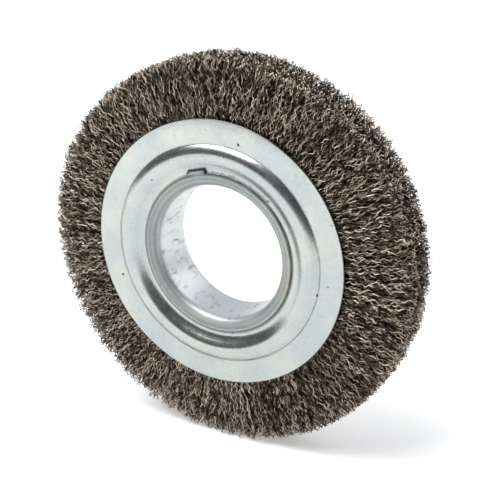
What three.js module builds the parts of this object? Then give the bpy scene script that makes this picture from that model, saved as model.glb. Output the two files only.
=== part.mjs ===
import * as THREE from 'three';

// Crimped-wire wheel brush for the arbor of a bench grinder.
// Millimetres, +Z up. The spin axis is Y and the front face looks along -Y.
// The origin is the centre of the arbor hole, midway between the two faces.
// Outlines are written as (radius from the spin axis, height along it), and the front half
// is drawn with its height measured inwards from the front ring plane.

// Driving dimensions
const boreRadius = 25.4;
const brushRadius = 75;
const ringHalfWidth = 11;
const roundSegments = 48;
const clearance = 0.3;

// Side plate: a flat outer ring, a raised bead inside it and a collar under the sleeve's lip
const plateRadius = 50.8;
const plateThickness = 1;
const plateHoleRadius = 28.3;
const creaseRadius = 41.8;
const beadRadius = 37.1;
const beadRise = 1.9;
const collarRadius = 31.4;
const collarDepth = 0.9;

// Arbor sleeve: a tube whose two ends are rolled outwards over the side plates
const tubeWall = 1.6;
const lipCrestRadius = 29.2;
const lipCrestRise = 0.2;
const lipEdgeRadius = 30.5;
const lipEdgeDepth = 0.45;
const flareDepth = 4.2;
const throatRadius = 28;
const throatDepth = 1.4;

// Hoops that the wires are folded over, and the thin washer between the two rows
const hoopRadius = 33.5;
const hoopWireRadius = 1.2;
const hoopOffset = 3.3;
const tunnelRadius = 1.6;
const dividerRadius = 47;
const dividerThickness = 0.5;

// Wire fill: two rows, each made of equal bundles
const bundlesPerRow = 12;
const bundleSteps = 4;
const bundleGapAngle = THREE.MathUtils.degToRad(0.5);
const foldRadius = 30.3;
const foldHalfWidth = 1.8;
const foldShoulder = 0.8;
const rimHalfWidth = 9.9;
const rimCornerRun = 2.4;
const rimCornerDrop = 4.2;

// How finely the round stretches of the outlines are cut
const lipSteps = 4;
const beadSteps = 4;
const cornerSteps = 2;
const hoopSides = 8;

const tubeRadius = boreRadius + tubeWall;
const holeRadius = tubeRadius + clearance;

const zincMaterial = (name) => new THREE.MeshStandardMaterial({
  name,
  color: 0xc6cdc9,
  roughness: 0.34,
  metalness: 0.9,
});

const plainSteelMaterial = (name) => new THREE.MeshStandardMaterial({
  name,
  color: 0x8d8a86,
  roughness: 0.5,
  metalness: 0.9,
});

const wireMaterial = (name) => new THREE.MeshStandardMaterial({
  name,
  color: 0x6e6258,
  roughness: 0.62,
  metalness: 0.6,
});

// Depth of the plate's outer surface below the ring plane at a given radius
function faceDepth(radius) {
  if (radius >= creaseRadius) return 0;
  if (radius >= beadRadius) {
    const share = (radius - beadRadius) / (creaseRadius - beadRadius);
    return -beadRise * Math.cos(share * Math.PI / 2);
  }
  const fall = Math.min((beadRadius - radius) / (beadRadius - collarRadius), 1);
  return collarDepth - (collarDepth + beadRise) * (1 + Math.cos(fall * Math.PI)) / 2;
}

// Evenly spaced values from one end to the other, both ends included
function spread(first, last, steps) {
  return Array.from({ length: steps + 1 }, (_, i) => first + (last - first) * i / steps);
}

const outerBeadRadii = spread(beadRadius, creaseRadius, beadSteps);
const innerBeadRadii = spread(collarRadius, beadRadius, beadSteps);

// A closed ring turned from an outline around the spin axis
function turnedRing(outline) {
  const closed = [...outline, outline[0]].map(([radius, height]) => new THREE.Vector2(radius, height));
  return new THREE.LatheGeometry(closed, roundSegments);
}

function sidePlateGeometry() {
  const radii = [plateHoleRadius, ...innerBeadRadii, ...outerBeadRadii.slice(1), plateRadius];
  const outside = radii.map((radius) => [radius, faceDepth(radius)]);
  const inside = outside.map(([radius, depth]) => [radius, depth + plateThickness]);
  return turnedRing([...outside, ...inside.reverse()]);
}

// The lip is two quarter ellipses that meet at its crest, with a sloping throat underneath
function lipOutline() {
  const turns = spread(0, Math.PI / 2, lipSteps);
  const inner = turns.map((turn) => [
    lipCrestRadius - (lipCrestRadius - boreRadius) * Math.cos(turn),
    flareDepth - (flareDepth + lipCrestRise) * Math.sin(turn),
  ]);
  const outer = turns.slice(1).map((turn) => [
    lipCrestRadius + (lipEdgeRadius - lipCrestRadius) * Math.sin(turn),
    lipEdgeDepth - (lipEdgeDepth + lipCrestRise) * Math.cos(turn),
  ]);
  return [...inner, ...outer, [throatRadius, lipEdgeDepth], [tubeRadius, throatDepth]];
}

function sleeveGeometry() {
  const front = lipOutline().map(([radius, depth]) => [radius, depth - ringHalfWidth]);
  const rear = front.map(([radius, height]) => [radius, -height]).reverse();
  return turnedRing([...rear, ...front]);
}

function dividerGeometry() {
  const half = dividerThickness / 2;
  return turnedRing([
    [holeRadius, -half],
    [dividerRadius, -half],
    [dividerRadius, half],
    [holeRadius, half],
  ]);
}

// A circle of the given radius round the middle of the hoop's wire
function aroundHoop(radius) {
  return spread(0, 2 * Math.PI, hoopSides).slice(1).map((turn) => [
    hoopRadius + radius * Math.cos(turn),
    radius * Math.sin(turn) - hoopOffset,
  ]);
}

function hoopGeometry() {
  return turnedRing(aroundHoop(hoopWireRadius));
}

// Cross-section of the front row: folded round the hoop, filling the plate's bead,
// then straight out to a rim whose outer corner is rounded off
function bundleOutline() {
  const plateBack = (radius) => faceDepth(radius) + plateThickness + clearance - ringHalfWidth;
  const dividerFace = -dividerThickness / 2 - clearance;
  const rowEdge = -clearance / 2;
  const corner = spread(0, Math.PI / 2, cornerSteps).map((turn) => [
    brushRadius - rimCornerRun * (1 - Math.sin(turn)),
    rimCornerDrop * (1 - Math.cos(turn)) - rimHalfWidth,
  ]);
  return [
    [foldRadius, -hoopOffset],
    [foldRadius + foldShoulder, -hoopOffset - foldHalfWidth],
    ...outerBeadRadii.map((radius) => [radius, plateBack(radius)]),
    [plateRadius, plateBack(plateRadius)],
    ...corner,
    [brushRadius, rowEdge],
    [dividerRadius + clearance, rowEdge],
    [dividerRadius + clearance, dividerFace],
    [foldRadius + foldShoulder, foldHalfWidth - hoopOffset],
  ];
}

// A slice of a ring: the outline, and a round tunnel for the hoop, swept about the spin axis
// from one angle to another, with a flat cap at each end
function bundleGeometry(startAngle, endAngle) {
  const outer = bundleOutline();
  const tunnel = aroundHoop(tunnelRadius);
  const rim = [...outer, ...tunnel];
  const toVector = ([radius, height]) => new THREE.Vector2(radius, height);
  const cap = THREE.ShapeUtils.triangulateShape(outer.map(toVector), [tunnel.map(toVector)]);
  const positions = [];
  for (const angle of spread(startAngle, endAngle, bundleSteps)) {
    for (const [radius, height] of rim) {
      positions.push(radius * Math.cos(angle), height, radius * Math.sin(angle));
    }
  }
  const indices = [];
  const addWall = (first, count, inward) => {
    for (let step = 0; step < bundleSteps; step += 1) {
      for (let i = 0; i < count; i += 1) {
        const a = step * rim.length + first + i;
        const b = step * rim.length + first + (i + 1) % count;
        const c = a + rim.length;
        const d = b + rim.length;
        indices.push(...(inward ? [a, b, c, b, d, c] : [a, c, b, b, c, d]));
      }
    }
  };
  addWall(0, outer.length, true);
  addWall(outer.length, tunnel.length, false);
  const last = bundleSteps * rim.length;
  for (const [a, b, c] of cap) {
    indices.push(a, c, b);
    indices.push(last + a, last + b, last + c);
  }
  const geometry = new THREE.BufferGeometry();
  geometry.setAttribute('position', new THREE.Float32BufferAttribute(positions, 3));
  geometry.setIndex(indices);
  geometry.computeVertexNormals();
  return geometry;
}

function namedMesh(name, geometry, material) {
  const mesh = new THREE.Mesh(geometry, material);
  mesh.name = name;
  return mesh;
}

// One half of the brush: its side plate, its hoop and its row of wire bundles
function brushHalf(side) {
  const half = new THREE.Group();
  const plate = namedMesh(`${side}_side_plate`, sidePlateGeometry(), zincMaterial('zinc plated plate'));
  plate.position.y = -ringHalfWidth;
  const hoop = namedMesh(`${side}_retaining_ring`, hoopGeometry(), plainSteelMaterial('hoop steel'));
  half.add(plate, hoop);
  const pitch = 2 * Math.PI / bundlesPerRow;
  for (let i = 0; i < bundlesPerRow; i += 1) {
    const start = i * pitch + bundleGapAngle / 2;
    const end = (i + 1) * pitch - bundleGapAngle / 2;
    const number = String(i + 1).padStart(2, '0');
    half.add(namedMesh(`${side}_wire_bundle_${number}`, bundleGeometry(start, end), wireMaterial('wire')));
  }
  return half;
}

const brush = new THREE.Group();
brush.name = 'wheel_brush';
brush.add(namedMesh('arbor_sleeve', sleeveGeometry(), zincMaterial('zinc plated sleeve')));
brush.add(namedMesh('row_divider', dividerGeometry(), plainSteelMaterial('washer steel')));
brush.add(brushHalf('front'));
const rearHalf = brushHalf('rear');
rearHalf.rotation.z = Math.PI;
brush.add(rearHalf);

export default brush;
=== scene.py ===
import math
import bpy
import numpy as np
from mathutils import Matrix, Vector


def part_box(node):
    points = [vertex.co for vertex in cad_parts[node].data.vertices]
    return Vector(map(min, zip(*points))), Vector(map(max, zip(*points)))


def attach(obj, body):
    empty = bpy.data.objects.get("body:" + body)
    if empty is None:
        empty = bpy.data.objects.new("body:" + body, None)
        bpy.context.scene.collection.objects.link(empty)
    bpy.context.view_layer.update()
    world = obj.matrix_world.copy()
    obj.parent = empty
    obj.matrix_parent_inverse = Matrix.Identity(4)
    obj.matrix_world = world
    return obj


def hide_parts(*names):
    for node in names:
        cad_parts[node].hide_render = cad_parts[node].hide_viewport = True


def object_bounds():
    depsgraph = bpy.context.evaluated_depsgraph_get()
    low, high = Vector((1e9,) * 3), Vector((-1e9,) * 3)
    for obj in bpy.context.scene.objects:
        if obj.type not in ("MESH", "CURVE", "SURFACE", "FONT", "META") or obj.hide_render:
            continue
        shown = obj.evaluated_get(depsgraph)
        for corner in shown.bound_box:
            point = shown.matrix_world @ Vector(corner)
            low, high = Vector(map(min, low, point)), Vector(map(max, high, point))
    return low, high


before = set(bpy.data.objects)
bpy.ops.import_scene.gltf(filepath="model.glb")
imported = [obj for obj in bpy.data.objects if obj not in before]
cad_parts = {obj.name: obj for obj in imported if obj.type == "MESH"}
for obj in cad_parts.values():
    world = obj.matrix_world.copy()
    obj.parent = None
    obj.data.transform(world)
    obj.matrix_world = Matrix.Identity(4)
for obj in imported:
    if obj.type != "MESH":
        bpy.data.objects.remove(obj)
cadLow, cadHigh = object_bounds()
mm = 0.001

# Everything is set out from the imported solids: the spin axis is Y, the front looks along -Y.
wheelRadius = cadHigh.z
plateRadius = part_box("front_side_plate")[1].x
ringFace = 11 * mm  # from the middle plane to the flat ring of a side plate
print("frame loaded, wheel radius", round(wheelRadius / mm, 1), "mm")


# The camera stands to the right of the wheel's axis and above it.
cameraSetup = {
    "azimuth": 28.42,
    "elevation": 21.67,
    "distance": 436.7 * mm,
    "lens": 86.33,
    "sensor": 36,
    "near": 0.01,
    # how far the front plate's centre sits to the right of the picture's middle, and above it
    "slideRight": -11.05 * mm,
    "slideUp": -1.82 * mm,
}


def viewAxes(azimuth, elevation):
    a = math.radians(azimuth)
    e = math.radians(elevation)
    back = Vector((math.sin(a) * math.cos(e), -math.cos(a) * math.cos(e), math.sin(e)))
    right = Vector((math.cos(a), math.sin(a), 0))
    return right, back.cross(right), back


def addCamera():
    right, up, back = viewAxes(cameraSetup["azimuth"], cameraSetup["elevation"])
    target = Vector((0, -ringFace, 0))
    target -= right * cameraSetup["slideRight"]
    target -= up * cameraSetup["slideUp"]
    bpy.ops.object.camera_add(location=target + back * cameraSetup["distance"])
    camera = bpy.context.object
    camera.name = "camera"
    camera.rotation_euler = back.to_track_quat("Z", "Y").to_euler()
    camera.data.lens = cameraSetup["lens"]
    camera.data.sensor_width = cameraSetup["sensor"]
    camera.data.clip_start = cameraSetup["near"]
    bpy.context.scene.camera = camera


addCamera()
print("camera placed")


class Signal:
    # A shader value that can stand in a Python expression; each operator adds a Math node.
    def __init__(self, finish, socket):
        self.finish = finish
        self.socket = socket

    def maths(self, operation, first, second):
        return self.finish.node("Math", {"operation": operation}, {0: first, 1: second})

    def __add__(self, other):
        return self.maths("ADD", self, other)

    def __radd__(self, other):
        return self.maths("ADD", other, self)

    def __sub__(self, other):
        return self.maths("SUBTRACT", self, other)

    def __rsub__(self, other):
        return self.maths("SUBTRACT", other, self)

    def __mul__(self, other):
        return self.maths("MULTIPLY", self, other)

    def __rmul__(self, other):
        return self.maths("MULTIPLY", other, self)

    def __abs__(self):
        return self.maths("ABSOLUTE", self, 0)

    def __pow__(self, other):
        return self.maths("POWER", self, other)


class Finish:
    # One material and its node tree.
    def __init__(self, name):
        self.material = bpy.data.materials.new(name)
        self.material.use_nodes = True
        self.tree = self.material.node_tree
        self.tree.nodes.clear()

    def node(self, kind, settings=None, sockets=None, out=0):
        made = self.tree.nodes.new("ShaderNode" + kind)
        for key, value in (settings or {}).items():
            if key == "stops":
                self.setStops(made.color_ramp, value)
            else:
                setattr(made, key, value)
        for key, value in (sockets or {}).items():
            if isinstance(value, Signal):
                self.tree.links.new(value.socket, made.inputs[key])
            else:
                made.inputs[key].default_value = value
        return Signal(self, made.outputs[out]) if made.outputs else None

    def setStops(self, ramp, stops):
        while len(ramp.elements) < len(stops):
            ramp.elements.new(1)
        for element, (position, shade) in zip(ramp.elements, stops):
            element.position = position
            element.color = shade

    def mix(self, factor, first, second):
        return self.node("Mix", {"data_type": "RGBA"}, {0: factor, 6: first, 7: second}, out=2)

    def step(self, value, low, high):
        # 0 below low, 1 above high, and a smooth rise between
        return self.node("MapRange", {"interpolation_type": "SMOOTHSTEP"}, {0: value, 1: low, 2: high})

    def part(self, vector, axis):
        return self.node("SeparateXYZ", None, {"Vector": vector}, out=axis)

    def ridge(self, value, centre, half, soft):
        # 1 along a thin line round the given value, 0 away from it
        return 1 - self.step(abs(value - centre), half, half + soft)

    def stretch(self, vector, x, y, z):
        return self.node("Mapping", None, {"Vector": vector, "Scale": (x, y, z)})

    def rings(self, radius, scale, detail=3.0):
        # noise that changes only with the radius, as turning leaves it
        return self.node("TexNoise", {"noise_dimensions": "1D"}, {
            "W": radius, "Scale": scale, "Detail": detail,
        })

    def noise(self, vector, scale, detail=2.0, rough=0.5):
        return self.node("TexNoise", None, {
            "Vector": vector, "Scale": scale, "Detail": detail, "Roughness": rough,
        })

    def bump(self, height, distance, strength=1.0):
        return self.node("Bump", None, {"Height": height, "Distance": distance, "Strength": strength})

    def surface(self, sockets):
        shader = self.node("BsdfPrincipled", None, sockets)
        self.node("OutputMaterial", None, {"Surface": shader})
        return self.material


def shade(red, green, blue):
    return (red, green, blue, 1)


zincLook = {
    "pale": shade(0.50, 0.53, 0.495),
    "cool": shade(0.42, 0.465, 0.475),
    "warm": shade(0.48, 0.47, 0.40),
    # dark colour for real grime, and also for the painted shade in creases and along edges
    "grimeAndShade": shade(0.13, 0.13, 0.12),
    "speck": shade(0.05, 0.05, 0.045),
    "roughness": 0.26,
    "metallic": 0.95,
    # sizes of the noises, in cells per metre
    "cloudScale": 45,
    "driftScale": 160,
    "grainScale": 2200,
    "blotchScale": 620,
    "speckScale": 190,
    "rareScale": 310,
    "blotchDirt": 0.30,
    "speckDirt": 0.9,
    "reliefDepth": 0.00002,
}


def zincBase(finish, place, stain):
    # The plating's cloudy colour, its fine grain and its specks, shared by plates and sleeve.
    look = zincLook
    cloud = finish.noise(place, look["cloudScale"], 3, 0.6)
    drift = finish.noise(place, look["driftScale"], 3, 0.6)
    grain = finish.noise(place, look["grainScale"], 2, 0.65)
    blotch = finish.noise(place, look["blotchScale"], 3, 0.7)
    tint = finish.mix(finish.step(cloud, 0.35, 0.66), look["cool"], look["pale"])
    tint = finish.mix(finish.step(drift, 0.52, 0.74) * stain, tint, look["warm"])
    tint = finish.mix(finish.step(blotch, 0.56, 0.82) * look["blotchDirt"], tint, look["grimeAndShade"])
    spots = finish.node("TexVoronoi", {"feature": "F1"}, {
        "Vector": place, "Scale": look["speckScale"], "Randomness": 1,
    })
    rare = finish.step(finish.noise(place, look["rareScale"], 0), 0.60, 0.64)
    speck = (1 - finish.step(spots, 0.07, 0.15)) * rare
    tint = finish.mix(speck * look["speckDirt"], tint, look["speck"])
    rough = look["roughness"] + (drift - 0.5) * 0.14 + (blotch - 0.5) * 0.12 + speck * 0.3
    relief = grain + blotch * 1.5 - speck * 3
    return tint, rough, relief


plateMarks = {
    "stain": 0.25,
    "creaseLine": 41.7 * mm,
    "creaseHalf": 0.08 * mm,
    "creaseSoft": 0.26 * mm,
    "lipShade": 30.7 * mm,  # painted shadow on the collar, along the sleeve's lip
    "lipShadeHalf": 0.2 * mm,
    "lipShadeSoft": 0.6 * mm,
    "lipShadeShift": 0.35 * mm,
    "lipShadeRagged": 2.4 * mm,
    "lipShadeStrength": 0.7,
    "raggedTowards": (0.17, 0.98),  # rightwards and upwards
    "raggedLow": 24 * mm,
    "raggedHigh": 29 * mm,
    # where the painted shade outlines the plate's outer edge
    "outerEdgeShadeFrom": 50.4 * mm,
    "outerEdgeShadeTo": 50.7 * mm,
    "outerEdgeShadeStrength": 0.8,
    "scuffScale": 2600,
    "scuffStrength": 0.12,
    "scuffsFrom": 41.6 * mm,
    "scuffsFull": 40.8 * mm,
}


def plateZinc():
    m = plateMarks
    finish = Finish("plateZinc")
    place = finish.node("TexCoord", out="Object")
    x = finish.part(place, 0)
    z = finish.part(place, 2)
    radius = (x * x + z * z) ** 0.5
    tint, rough, relief = zincBase(finish, place, m["stain"])
    patchy = finish.noise(place, 130, 2, 0.6)
    # a thin pressed line where the bead starts, darkened unevenly along it with painted shade
    crease = finish.ridge(radius, m["creaseLine"], m["creaseHalf"], m["creaseSoft"])
    paintedShade = crease * (0.25 + finish.step(patchy, 0.35, 0.7) * 0.5)
    # the painted shadow by the lip is ragged at the top, where the lip was rolled down
    rightwards, upwards = m["raggedTowards"]
    ragged = finish.step(x * rightwards + z * upwards, m["raggedLow"], m["raggedHigh"])
    jagged = (finish.noise(place, 700, 2, 0.7) - 0.5) * m["lipShadeRagged"] * ragged
    lipShade = m["lipShade"] + ragged * m["lipShadeShift"]
    byLip = finish.ridge(radius + jagged, lipShade, m["lipShadeHalf"], m["lipShadeSoft"])
    paintedShade = paintedShade + byLip * m["lipShadeStrength"]
    # painted shade: a dark outline round the plate's outer edge, where the wires come out under it
    outerEdgeShade = finish.step(radius, m["outerEdgeShadeFrom"], m["outerEdgeShadeTo"])
    paintedShade = paintedShade + outerEdgeShade * m["outerEdgeShadeStrength"]
    scuffs = finish.step(finish.rings(radius + patchy * 0.4 * mm, m["scuffScale"]), 0.60, 0.72)
    inBead = finish.step(radius, m["scuffsFrom"], m["scuffsFull"])
    tint = finish.mix(paintedShade + scuffs * inBead * m["scuffStrength"], tint, zincLook["grimeAndShade"])
    return finish.surface({
        "Base Color": tint,
        "Metallic": zincLook["metallic"],
        "Roughness": rough,
        "Normal": finish.bump(relief - crease * 9 - scuffs * inBead, zincLook["reliefDepth"], 0.45),
    })


sleeveMarks = {
    "stain": 0.85,
    "rubbed": shade(0.58, 0.60, 0.605),  # the bore, rubbed bright
    "turnedScale": 2400,
    "turnedStrength": 0.6,
    "lipFrom": 25.6 * mm,
    "lipFull": 26.8 * mm,
    "lipRougher": 0.3,
    # where the painted shade runs round the lip's outer edge
    "edgeLine": 30.5 * mm,
    "edgeHalf": 0.12 * mm,
    "edgeSoft": 0.35 * mm,
    "shadeAndSpotStrength": 0.7,
    "tabAlong": (0.966, 0.259),  # the locking tab's length runs this way: rightwards and upwards
    "tabFrom": 30.6 * mm,
    "tabFull": 30.8 * mm,
    "tabEndFrom": 3.45 * mm,
    "tabEndFull": 3.7 * mm,
    "tabTopFrom": 31.65 * mm,
    "tabTopFull": 31.85 * mm,
    "dragScale": 520,
    "dragStrength": 0.6,
    "gougeScale": 260,
    "gougeStrength": 0.9,
}


def sleeveZinc():
    m = sleeveMarks
    finish = Finish("sleeveZinc")
    place = finish.node("TexCoord", out="Object")
    x = finish.part(place, 0)
    z = finish.part(place, 2)
    radius = (x * x + z * z) ** 0.5
    tint, rough, relief = zincBase(finish, place, m["stain"])
    patchy = finish.noise(place, 120, 2, 0.6)
    # turning marks round the lips
    turned = finish.rings(radius + patchy * 0.15 * mm, m["turnedScale"], 4)
    onLip = finish.step(radius, m["lipFrom"], m["lipFull"])
    inBore = 1 - onLip
    tint = finish.mix(inBore, tint, m["rubbed"])
    tint = finish.mix(finish.step(turned, 0.42, 0.68) * onLip * m["turnedStrength"], tint, zincLook["grimeAndShade"])
    # painted shade: a dark line round the lip's outer edge, in patches
    edge = finish.ridge(radius, m["edgeLine"], m["edgeHalf"], m["edgeSoft"])
    edge = edge * finish.step(patchy, 0.25, 0.6)
    # painted shade round the locking tab's ends and top, and dark spots on its face
    rightwards, upwards = m["tabAlong"]
    along = x * rightwards + z * upwards
    onTab = finish.step(radius, m["tabFrom"], m["tabFull"])
    edge = edge + onTab * finish.step(abs(along), m["tabEndFrom"], m["tabEndFull"])
    edge = edge + finish.step(radius, m["tabTopFrom"], m["tabTopFull"])
    edge = edge + onTab * finish.step(finish.noise(place, 900, 2, 0.7), 0.54, 0.60) * 0.8
    # drag marks along the bore, longer than they are wide, and a few deep gouges
    dragged = finish.noise(finish.stretch(place, 1, 0.3, 1), m["dragScale"], 4, 0.75)
    scraped = finish.step(dragged, 0.50, 0.68) * inBore * finish.step(patchy, 0.38, 0.58)
    gouged = finish.noise(finish.stretch(place, 1, 0.6, 1), m["gougeScale"], 3, 0.85)
    gouges = finish.step(gouged, 0.68, 0.72) * inBore
    # real drag marks and gouges, together with the painted shade along the lip's edge and round the tab
    dirtAndShade = edge * m["shadeAndSpotStrength"] + scraped * m["dragStrength"] + gouges * m["gougeStrength"]
    tint = finish.mix(dirtAndShade, tint, zincLook["grimeAndShade"])
    return finish.surface({
        "Base Color": tint,
        "Metallic": zincLook["metallic"],
        "Roughness": rough + 0.1 + onLip * m["lipRougher"] + dirtAndShade * 0.2,
        "Normal": finish.bump(relief + turned * onLip * 4 - dirtAndShade * 5, zincLook["reliefDepth"], 0.5),
    })


plainSteelLook = {
    "dark": shade(0.34, 0.33, 0.31),
    "light": shade(0.50, 0.49, 0.47),
    "roughness": 0.42,
    "cloudScale": 120,
    "grainScale": 3000,
}


def plainSteel():
    finish = Finish("plainSteel")
    place = finish.node("TexCoord", out="Object")
    cloud = finish.noise(place, plainSteelLook["cloudScale"], 3, 0.6)
    grain = finish.noise(place, plainSteelLook["grainScale"], 2, 0.5)
    tint = finish.mix(cloud, plainSteelLook["dark"], plainSteelLook["light"])
    return finish.surface({
        "Base Color": tint,
        "Metallic": 1.0,
        "Roughness": plainSteelLook["roughness"] + (grain - 0.5) * 0.2,
        "Normal": finish.bump(grain, zincLook["reliefDepth"], 0.3),
    })


wireLook = {
    # dark and light lie far apart: beyond the wires' own tone they paint shade between wires and highlights
    # on them
    "dark": shade(0.022, 0.014, 0.008),
    "middle": shade(0.21, 0.157, 0.112),
    "light": shade(0.82, 0.71, 0.59),
    "roughness": 0.38,
    "metallic": 0.85,
    # the tones at which a wire is dark, middling and light
    "darkAt": 0.30,
    "middleAt": 0.52,
    "lightAt": 0.72,
    "patchScale": 340,
    "patchShare": 0.52,  # how much of a wire's tone changes along it; the rest is the same all along
}


def wireSteel():
    finish = Finish("wireSteel")
    place = finish.node("TexCoord", out="Object")
    toneAndShade = finish.node("Attribute", {"attribute_name": "wireTone"}, out="Fac")
    # each wire has its own run of bright and dull stretches
    lot = finish.node("Attribute", {"attribute_name": "wireLot"}, out="Fac")
    patch = finish.node("TexNoise", {"noise_dimensions": "4D"}, {
        "Vector": place, "W": lot * 100, "Scale": wireLook["patchScale"], "Detail": 0.5,
    })
    patchShare = wireLook["patchShare"]
    mixed = toneAndShade * (1 - patchShare) + finish.step(patch, 0.37, 0.63) * patchShare
    # the ramp's near-black and pale ends are partly real tone, partly painted shade and painted highlights
    tint = finish.node("ValToRGB", {"stops": [
        (wireLook["darkAt"], wireLook["dark"]),
        (wireLook["middleAt"], wireLook["middle"]),
        (wireLook["lightAt"], wireLook["light"]),
    ]}, {"Fac": mixed})
    return finish.surface({
        "Base Color": tint,
        "Metallic": wireLook["metallic"],
        "Roughness": wireLook["roughness"] + (patch - 0.5) * 0.25,
    })


zincPlate = plateZinc()
zincSleeve = sleeveZinc()
plainSteelFinish = plainSteel()
wireFinish = wireSteel()
print("materials made")


def editOnly(piece):
    # Puts one piece, and nothing else, into edit mode.
    if bpy.context.object and bpy.context.object.mode != "OBJECT":
        bpy.ops.object.mode_set(mode="OBJECT")
    bpy.ops.object.select_all(action="DESELECT")
    piece.select_set(True)
    bpy.context.view_layer.objects.active = piece
    bpy.ops.object.mode_set(mode="EDIT")


mergeWithin = 0.002 * mm


def drawOutline(name, points):
    # A primitive shrunk to one vertex, then extruded from point to point in the plane X = 0.
    bpy.ops.object.select_all(action="DESELECT")
    bpy.ops.mesh.primitive_plane_add(size=mm)
    piece = bpy.context.object
    piece.name = name
    piece.data.name = name
    editOnly(piece)
    bpy.ops.mesh.select_all(action="SELECT")
    bpy.ops.mesh.merge(type="CENTER")
    here = Vector((0, points[0][1], points[0][0]))
    bpy.ops.transform.translate(value=here)
    for radius, height in points[1:]:
        there = Vector((0, height, radius))
        bpy.ops.mesh.extrude_region_move(TRANSFORM_OT_translate={"value": there - here})
        here = there
    return piece


def spinOutline(piece, steps):
    # Turns the outline once round the spin axis and closes the seam.
    bpy.ops.mesh.select_all(action="SELECT")
    bpy.ops.mesh.spin(steps=steps, angle=2 * math.pi, center=(0, 0, 0), axis=(0, 1, 0))
    bpy.ops.mesh.select_all(action="SELECT")
    bpy.ops.mesh.remove_doubles(threshold=mergeWithin)
    bpy.ops.mesh.normals_make_consistent(inside=False)
    bpy.ops.object.mode_set(mode="OBJECT")


def finishPiece(piece, material, smooth):
    bpy.ops.object.select_all(action="DESELECT")
    piece.select_set(True)
    bpy.context.view_layer.objects.active = piece
    bpy.ops.object.shade_smooth_by_angle(angle=math.radians(smooth))
    piece.data.materials.clear()
    piece.data.materials.append(material)
    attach(piece, "root")


sidePlate = {
    "thickness": 0.95 * mm,
    "hole": 28.3 * mm,
    "crease": 41.6 * mm,
    "bead": 37.1 * mm,
    "beadRise": 1.8 * mm,
    "flank": 2.4,  # how square the bead's outer flank stands on the flat ring
    "collar": 31.4 * mm,
    "collarDepth": 0.62 * mm,
    "creaseWidth": 0.25 * mm,
    "edgeRound": 0.22 * mm,
    "edgeSegments": 3,
    "edgeAngle": 50,
    "innerSteps": 20,
    "outerSteps": 18,
    "steps": 240,
    "smoothAngle": 40,
}


def faceDepth(radius):
    # How far the plate's outer face lies behind its flat ring; the raised bead stands in front of it.
    p = sidePlate
    if radius >= p["crease"]:
        return 0
    if radius >= p["bead"]:
        share = (radius - p["bead"]) / (p["crease"] - p["bead"])
        return -p["beadRise"] * (1 - share ** p["flank"])
    fall = min((p["bead"] - radius) / (p["bead"] - p["collar"]), 1)
    return p["collarDepth"] - (p["collarDepth"] + p["beadRise"]) * (1 + math.cos(fall * math.pi)) / 2


def addSidePlate(name, node, side):
    p = sidePlate
    radii = np.concatenate([
        [p["hole"]],
        np.linspace(p["collar"], p["bead"], p["innerSteps"]),
        np.linspace(p["bead"], p["crease"], p["outerSteps"])[1:],
        [p["crease"] + p["creaseWidth"], plateRadius],
    ])
    outline = [(radius, side * (ringFace - faceDepth(radius))) for radius in radii]
    plate = drawOutline(name, outline)
    spinOutline(plate, p["steps"])
    # the sheet's face must look outwards before it is thickened inwards
    flat = max(plate.data.polygons, key=lambda face: math.hypot(face.center.x, face.center.z))
    if flat.normal.y * side < 0:
        editOnly(plate)
        bpy.ops.mesh.select_all(action="SELECT")
        bpy.ops.mesh.flip_normals()
        bpy.ops.object.mode_set(mode="OBJECT")
    sheet = plate.modifiers.new("sheet", "SOLIDIFY")
    sheet.thickness = p["thickness"]
    sheet.offset = -1
    sheet.use_even_offset = True
    bpy.ops.object.modifier_apply(modifier="sheet")
    rounding = plate.modifiers.new("rounding", "BEVEL")
    rounding.width = p["edgeRound"]
    rounding.segments = p["edgeSegments"]
    rounding.limit_method = "ANGLE"
    rounding.angle_limit = math.radians(p["edgeAngle"])
    bpy.ops.object.modifier_apply(modifier="rounding")
    finishPiece(plate, zincPlate, p["smoothAngle"])
    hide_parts(node)


addSidePlate("frontSidePlate", "front_side_plate", -1)
addSidePlate("rearSidePlate", "rear_side_plate", 1)
print("side plates pressed")


sleeve = {
    "bore": 25.4 * mm,
    "wall": 1.6 * mm,
    "crest": 29.2 * mm,
    "crestRise": 0.2 * mm,
    "edge": 30.5 * mm,
    "edgeDepth": 0.45 * mm,
    "flareDepth": 4.2 * mm,
    "throat": 28.0 * mm,
    "throatDepth": 1.4 * mm,
    "lipSteps": 12,
    "steps": 240,
    "smoothAngle": 40,
}


def lipOutline():
    # Two quarter ellipses from the bore over the crest to the lip's outer edge: (radius, depth).
    s = sleeve
    turns = np.linspace(0, math.pi / 2, s["lipSteps"])
    inner = [(
        s["crest"] - (s["crest"] - s["bore"]) * math.cos(t),
        s["flareDepth"] - (s["flareDepth"] + s["crestRise"]) * math.sin(t),
    ) for t in turns]
    outer = [(
        s["crest"] + (s["edge"] - s["crest"]) * math.sin(t),
        s["edgeDepth"] - (s["edgeDepth"] + s["crestRise"]) * math.cos(t),
    ) for t in turns[1:]]
    under = [(s["throat"], s["edgeDepth"]), (s["bore"] + s["wall"], s["throatDepth"])]
    return inner + outer + under


lockingTab = {
    "turn": 105,  # where it sits round the front lip, in degrees up from the right
    "radius": 30.9 * mm,
    "length": 7.7 * mm,
    "height": 2.2 * mm,
    "thickness": 0.7 * mm,
    "rounding": 0.22 * mm,
    "segments": 3,
}


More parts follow.
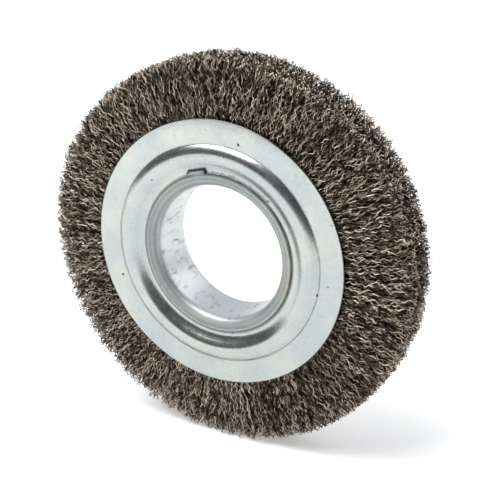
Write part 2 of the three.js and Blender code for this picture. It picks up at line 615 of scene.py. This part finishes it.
def addTab():
    # The stub of sheet that is folded over the front lip's outer edge.
    t = lockingTab
    turn = math.radians(t["turn"])
    height = -ringFace + sleeve["edgeDepth"] - t["thickness"] / 2
    bpy.ops.object.select_all(action="DESELECT")
    bpy.ops.mesh.primitive_cube_add(size=1)
    tab = bpy.context.object
    tab.name = "lockingTab"
    tab.scale = (t["length"], t["thickness"], t["height"])
    tab.rotation_euler = (0, math.pi / 2 - turn, 0)
    tab.location = (t["radius"] * math.cos(turn), height, t["radius"] * math.sin(turn))
    bpy.ops.object.transform_apply(location=True, rotation=True, scale=True)
    rounding = tab.modifiers.new("rounding", "BEVEL")
    rounding.width = t["rounding"]
    rounding.segments = t["segments"]
    bpy.ops.object.modifier_apply(modifier="rounding")
    return tab


def addSleeve():
    front = [(radius, depth - ringFace) for radius, depth in lipOutline()]
    rear = [(radius, -height) for radius, height in reversed(front)]
    outline = front + rear
    piece = drawOutline("arborSleeve", outline + outline[:1])
    spinOutline(piece, sleeve["steps"])
    tab = addTab()
    tab.select_set(True)
    piece.select_set(True)
    bpy.context.view_layer.objects.active = piece
    bpy.ops.object.join()
    finishPiece(piece, zincSleeve, sleeve["smoothAngle"])
    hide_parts("arbor_sleeve")


addSleeve()
print("sleeve turned")


wireFill = {
    "bundles": 12,
    "wires": 540,
    "faceBias": 0.6,
    "thickness": 0.172 * mm,
    "bends": 18,
    "root": 46.5 * mm,
    "rootSpread": 2.2 * mm,
    "trim": 73.6 * mm,
    "trimWander": 0.5 * mm,
    "trimSpread": 0.4 * mm,
    "trimMost": 1.2 * mm,  # past the wheel's nominal radius
    "runOut": 1.2 * mm,  # how far the worn rim runs out of true, and towards which side
    "runOutTurn": -18,
    "wear": 1.8 * mm,  # how much more is worn off one side, and which side that is
    "wearTurn": 96,
    "crimp": 0.52 * mm,
    "crimpLow": 0.5,  # least and most, as shares of the crimp above
    "crimpHigh": 1.3,
    "crimpTurn": 0.7,  # how far the crimp's plane is turned from wire to wire, in radians
    "crimpTwist": 0.35,  # and from bend to bend
    "bendShift": 0.3,
    "shortestBend": 0.25,
    "lean": 0.2 * mm,
    "leanSpread": 2.7 * mm,
    "bow": 0.15 * mm,
    "bowSpread": 0.8 * mm,
    "wander": 0.55 * mm,
    "wanderSideways": 1.3,
    "fewestWaves": 1.5,
    "mostWaves": 4.0,
    "rootHalfWidth": 9.6 * mm,
    "tipHalfWidth": 9.0 * mm,
    "tipSpread": 0.35 * mm,
    "bulge": 0.5 * mm,
    "rootTurn": 0.003,
    "insideShadeRate": 2.4,  # how fast the painted shade deepens away from the face
    # how deep the painted shade gets inside the fill, and how much of each wire towards its tip it spares
    "insideShadeMost": 0.85,
    "paleTip": 0.35,
    "stripsAbreast": 4,
    "stripLength": 0.94,  # shares of a strip's room on the flat picture, the rest is left as a gap
    "stripWidth": 0.7,
    "seed": 7,
}
# the spacings, in metres, of the swells that neighbouring wires share
swellSpacing = {"trim": 9 * mm, "lean": 5 * mm, "bow": 6 * mm, "tip": 6 * mm}
swellSeed = {"trim": 11, "lean": 12, "bow": 13, "tip": 14}
swellWaves = 7
swellScale = 2.6
# two irrational steps that scatter points evenly over a square
scatterAcross = 0.7548776662
scatterIn = 0.5698402910


def swell(angle, height, kind):
    # A smooth, repeatable field over the brush, about -1 to 1, so that neighbouring wires agree.
    spacing = swellSpacing[kind]
    rng = np.random.default_rng(swellSeed[kind])
    total = np.zeros_like(angle)
    around = 2 * math.pi * wheelRadius / spacing
    for wave in range(swellWaves):
        waves = round(around * rng.uniform(0.5, 1.3))
        across = rng.uniform(-1, 1) * 2 * math.pi / spacing
        total += np.sin(waves * angle + across * height + rng.uniform(0, 2 * math.pi))
    return total / swellScale


def crimpedWires(angle, rootHeight, rng):
    # Centre lines of many wires at once, as wires x rings x 3. The rings sit at the crimp's bends.
    w = wireFill
    count = len(angle)
    rings = w["bends"] + 1
    trim = w["trim"] + w["trimWander"] * swell(angle, rootHeight, "trim")
    trim += w["runOut"] * np.cos(angle - math.radians(w["runOutTurn"]))
    trim -= w["wear"] * np.maximum(np.cos(angle - math.radians(w["wearTurn"])), 0) ** 2
    trim = np.minimum(trim + rng.normal(0, w["trimSpread"], count), wheelRadius + w["trimMost"])
    lean = w["lean"] * swell(angle, rootHeight, "lean") + rng.normal(0, w["leanSpread"], count)
    bow = w["bow"] * swell(angle, rootHeight, "bow") + rng.normal(0, w["bowSpread"], count)
    tipHeight = rootHeight * w["tipHalfWidth"] / w["rootHalfWidth"] + rng.normal(0, w["tipSpread"], count)
    tipHeight += w["tipSpread"] * swell(angle, rootHeight, "tip")
    start = w["root"] + rng.uniform(-1, 1, count) * w["rootSpread"]
    # the last bend is cut short anywhere, so that no two wires bend at the same radius
    cut = rng.uniform(w["shortestBend"], 1, count) - 1
    step = np.arange(rings)[None, :] + rng.uniform(-w["bendShift"], w["bendShift"], (count, rings))
    step[:, 0] = 0
    step[:, -1] = w["bends"] + cut
    grown = step / step[:, -1:]
    radius = start[:, None] + (trim - start)[:, None] * grown
    arch = np.sin(math.pi * grown)
    sideways = lean[:, None] * grown + bow[:, None] * arch
    height = rootHeight[:, None] + (tipHeight - rootHeight)[:, None] * grown
    height += (rootHeight / w["rootHalfWidth"])[:, None] * w["bulge"] * arch
    # each wire strays slowly from its line, so that it dives under its neighbours and comes up again
    strays = []
    for direction in range(2):
        waves = rng.uniform(w["fewestWaves"], w["mostWaves"], (count, 1))
        phase = rng.uniform(0, 2 * math.pi, (count, 1))
        strays.append(w["wander"] * np.sin(2 * math.pi * waves * grown + phase) * np.sqrt(grown))
    sideways += strays[0] * w["wanderSideways"]
    height += strays[1]
    # the crimp swings to and fro from ring to ring, in a plane of the wire's own
    swing = np.where(np.arange(rings) % 2 == 0, 1, -1)[None, :] * rng.choice([-1, 1], (count, 1))
    size = swing * w["crimp"] * rng.uniform(w["crimpLow"], w["crimpHigh"], (count, rings))
    plane = rng.normal(0, w["crimpTurn"], (count, 1)) + rng.normal(0, w["crimpTwist"], (count, rings))
    sideways += size * np.cos(plane)
    height += size * np.sin(plane)
    outward = np.stack([np.cos(angle), np.zeros(count), np.sin(angle)], -1)[:, None, :]
    across = np.stack([-np.sin(angle), np.zeros(count), np.cos(angle)], -1)[:, None, :]
    points = outward * radius[..., None] + across * sideways[..., None]
    points[..., 1] += height
    return points


def wireSkin(points, thickness, rng):
    # A three-sided tube round each centre line: vertices, and the corners of every face in order.
    count, rings = points.shape[:2]
    ahead = np.gradient(points, axis=1)
    ahead /= np.linalg.norm(ahead, axis=2, keepdims=True)
    sideA = np.cross(ahead, np.array([0, 1, 0]))
    sideA /= np.linalg.norm(sideA, axis=2, keepdims=True)
    sideB = np.cross(ahead, sideA)
    turn = rng.uniform(0, 2 * math.pi, (count, 1, 1))
    corners = [turn + 2 * math.pi * k / 3 for k in range(3)]
    verts = np.stack([points + thickness * (np.cos(c) * sideA + np.sin(c) * sideB) for c in corners], 2)
    wall = np.array([
        (ring * 3 + k, ring * 3 + 3 + k, ring * 3 + 3 + (k + 1) % 3, ring * 3 + (k + 1) % 3)
        for ring in range(rings - 1) for k in range(3)
    ])
    ends = np.array([(0, 1, 2), (rings * 3 - 1, rings * 3 - 2, rings * 3 - 3)])
    offsets = np.arange(count)[:, None, None] * rings * 3
    return verts.reshape(-1, 3), (wall[None] + offsets).reshape(-1, 4), (ends[None] + offsets).reshape(-1, 3)


def wireLayout(count, rings):
    # Where the faces' corners lie on a flat picture: one strip per wire, a few strips abreast.
    corners = [(0, 0), (1, 0), (1, 1), (0, 1)]
    wall = [
        ((ring + along) / (rings - 1), (k + up) / 3)
        for ring in range(rings - 1) for k in range(3) for along, up in corners
    ]
    ends = [(end, k / 3) for end in range(2) for k in range(3)]
    abreast = wireFill["stripsAbreast"]
    length = wireFill["stripLength"]
    width = wireFill["stripWidth"]
    wire = np.arange(count)[:, None]
    layout = []
    for shares in (np.array(wall), np.array(ends)):
        across = (wire % abreast + (1 - length) / 2 + length * shares[None, :, 0]) / abreast
        up = (wire // abreast + (1 - width) / 2 + width * shares[None, :, 1]) / math.ceil(count / abreast)
        layout.append(np.stack([across, up], -1).reshape(-1, 2))
    return np.concatenate(layout)


def meshFromFaces(name, verts, quads, triangles, values, layout):
    mesh = bpy.data.meshes.new(name)
    corners = np.concatenate([quads.ravel(), triangles.ravel()])
    starts = np.concatenate([
        np.arange(len(quads)) * 4,
        len(quads) * 4 + np.arange(len(triangles)) * 3,
    ])
    mesh.vertices.add(len(verts))
    mesh.loops.add(len(corners))
    mesh.polygons.add(len(starts))
    mesh.vertices.foreach_set("co", verts.astype(np.float32).ravel())
    mesh.loops.foreach_set("vertex_index", corners.astype(np.int32))
    mesh.polygons.foreach_set("loop_start", starts.astype(np.int32))
    mesh.polygons.foreach_set("use_smooth", np.ones(len(starts), bool))
    mesh.update(calc_edges=True)
    for title, numbers in values.items():
        attribute = mesh.attributes.new(title, "FLOAT", "POINT")
        attribute.data.foreach_set("value", numbers.astype(np.float32))
    # a ready flat map named OFBake, one strip per wire, so that thousands of loose tubes needn't be
    # unwrapped for baking
    mesh.uv_layers.new(name="OFBake").data.foreach_set("uv", layout.astype(np.float32).ravel())
    return mesh


def addWireBundle(row, number):
    w = wireFill
    node = f"{row}_wire_bundle_{number:02d}"
    middle = sum((vertex.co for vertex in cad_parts[node].data.vertices), Vector())
    centre = math.atan2(middle.z, middle.x)
    side = math.copysign(1, middle.y)
    rowSeed = 50 if row == "rear" else 0
    rng = np.random.default_rng(w["seed"] * 1000 + rowSeed + number)
    half = math.pi / w["bundles"]
    # an even scatter over the bundle's root, closer together towards the face
    order = np.arange(w["wires"])
    across = (order * scatterAcross + rng.uniform(0, 1)) % 1
    share = (order * scatterIn + rng.uniform(0, 1)) % 1
    outward = share ** w["faceBias"]
    angle = centre + half * (2 * across - 1) + rng.normal(0, w["rootTurn"], w["wires"])
    rootHeight = side * w["rootHalfWidth"] * outward
    points = crimpedWires(angle, rootHeight, rng)
    verts, quads, triangles = wireSkin(points, w["thickness"], rng)
    # painted shade: wires deep inside the fill are darkened, least so at their tips
    rings = w["bends"] + 1
    buried = np.clip((1 - outward) * w["insideShadeRate"], 0, 1)
    fromTip = np.linspace(1, 0, rings)
    insideShade = buried[:, None] * w["insideShadeMost"] * np.minimum(fromTip / w["paleTip"], 1)[None, :]
    tonesAndShade = rng.uniform(0, 1, w["wires"])[:, None] * (1 - insideShade)
    lots = rng.uniform(0, 1, w["wires"])
    values = {"wireTone": np.repeat(tonesAndShade.ravel(), 3), "wireLot": np.repeat(lots, 3 * rings)}
    name = f"{row}Wires{number:02d}"
    mesh = meshFromFaces(name, verts, quads, triangles, values, wireLayout(w["wires"], rings))
    piece = bpy.data.objects.new(name, mesh)
    bpy.context.scene.collection.objects.link(piece)
    mesh.materials.append(wireFinish)
    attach(piece, "root")
    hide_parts(node)


for row in ("front", "rear"):
    for number in range(1, wireFill["bundles"] + 1):
        addWireBundle(row, number)
print("wires laid")


for node in ("row_divider", "front_retaining_ring", "rear_retaining_ring"):
    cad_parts[node].data.materials.clear()
    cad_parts[node].data.materials.append(plainSteelFinish)


studio = {
    "floor": shade(0.88, 0.88, 0.87),
    "floorPatch": shade(0.86, 0.86, 0.855),
    "floorSize": 12,
    "floorRoughness": 0.55,
    "sky": shade(0.93, 0.95, 1.0),
    "frontSky": 0.05,
    "rearSky": 0.9,
    "frontSkyTo": -0.2,  # along Y, where the sky starts to get brighter and where it is brightest
    "rearSkyFrom": 0.6,
    # the floor gives off some light, more of it further away
    "nearGlow": 0.34,
    "farGlow": 1.0,
    "glowFrom": 0.3,
    "glowFull": 1.1,
    "keyPlace": (-0.4, -0.5, 1.3),
    "keySize": 1.1,
    "keyPower": 27,
    "rimPlace": (0.8, 1.0, 0.9),
    "rimSize": 1.0,
    "rimPower": 3,
}


def addLight(name):
    # A square lamp that faces the wheel.
    place = studio[name + "Place"]
    bpy.ops.object.light_add(type="AREA", location=place)
    lamp = bpy.context.object
    lamp.name = name
    lamp.data.shape = "SQUARE"
    lamp.data.size = studio[name + "Size"]
    lamp.data.energy = studio[name + "Power"]
    lamp.rotation_euler = Vector(place).to_track_quat("Z", "Y").to_euler()


def addBackdrop():
    # White where it is seen straight on. On everything else it is a soft light, stronger from behind.
    world = bpy.data.worlds.new("studio")
    bpy.context.scene.world = world
    world.use_nodes = True
    nodes = world.node_tree.nodes
    links = world.node_tree.links
    soft = nodes["Background"]
    soft.inputs["Color"].default_value = studio["sky"]
    direction = nodes.new("ShaderNodeTexCoord")
    parts = nodes.new("ShaderNodeSeparateXYZ")
    spread = nodes.new("ShaderNodeMapRange")
    links.new(direction.outputs["Generated"], parts.inputs[0])
    links.new(parts.outputs["Y"], spread.inputs["Value"])
    links.new(spread.outputs[0], soft.inputs["Strength"])
    spread.inputs["From Min"].default_value = studio["frontSkyTo"]
    spread.inputs["From Max"].default_value = studio["rearSkyFrom"]
    spread.inputs["To Min"].default_value = studio["frontSky"]
    spread.inputs["To Max"].default_value = studio["rearSky"]
    white = nodes.new("ShaderNodeBackground")
    seen = nodes.new("ShaderNodeLightPath")
    blend = nodes.new("ShaderNodeMixShader")
    links.new(seen.outputs["Is Camera Ray"], blend.inputs[0])
    links.new(soft.outputs[0], blend.inputs[1])
    links.new(white.outputs[0], blend.inputs[2])
    links.new(blend.outputs[0], nodes["World Output"].inputs["Surface"])
    white.inputs["Color"].default_value = shade(1, 1, 1)


def addStudio():
    bpy.ops.mesh.primitive_plane_add(size=studio["floorSize"], location=(0, 0, cadLow.z))
    floor = bpy.context.object
    floor.name = "floor"
    floorFinish = Finish("paleFloor")
    place = floorFinish.node("TexCoord", out="Object")
    cloud = floorFinish.noise(place, 3, 2, 0.5)
    tint = floorFinish.mix(cloud, studio["floor"], studio["floorPatch"])
    x = floorFinish.part(place, 0)
    y = floorFinish.part(place, 1)
    away = floorFinish.step((x * x + y * y) ** 0.5, studio["glowFrom"], studio["glowFull"])
    near = studio["nearGlow"]
    far = studio["farGlow"]
    floor.data.materials.append(floorFinish.surface({
        "Base Color": tint,
        "Roughness": studio["floorRoughness"],
        "Emission Color": floorFinish.mix(away, shade(near, near, near), shade(far, far, far)),
        "Emission Strength": 1.0,
    }))
    addLight("key")
    addLight("rim")
    addBackdrop()
    bpy.context.scene.view_settings.view_transform = "Standard"


addStudio()
print("studio lit")
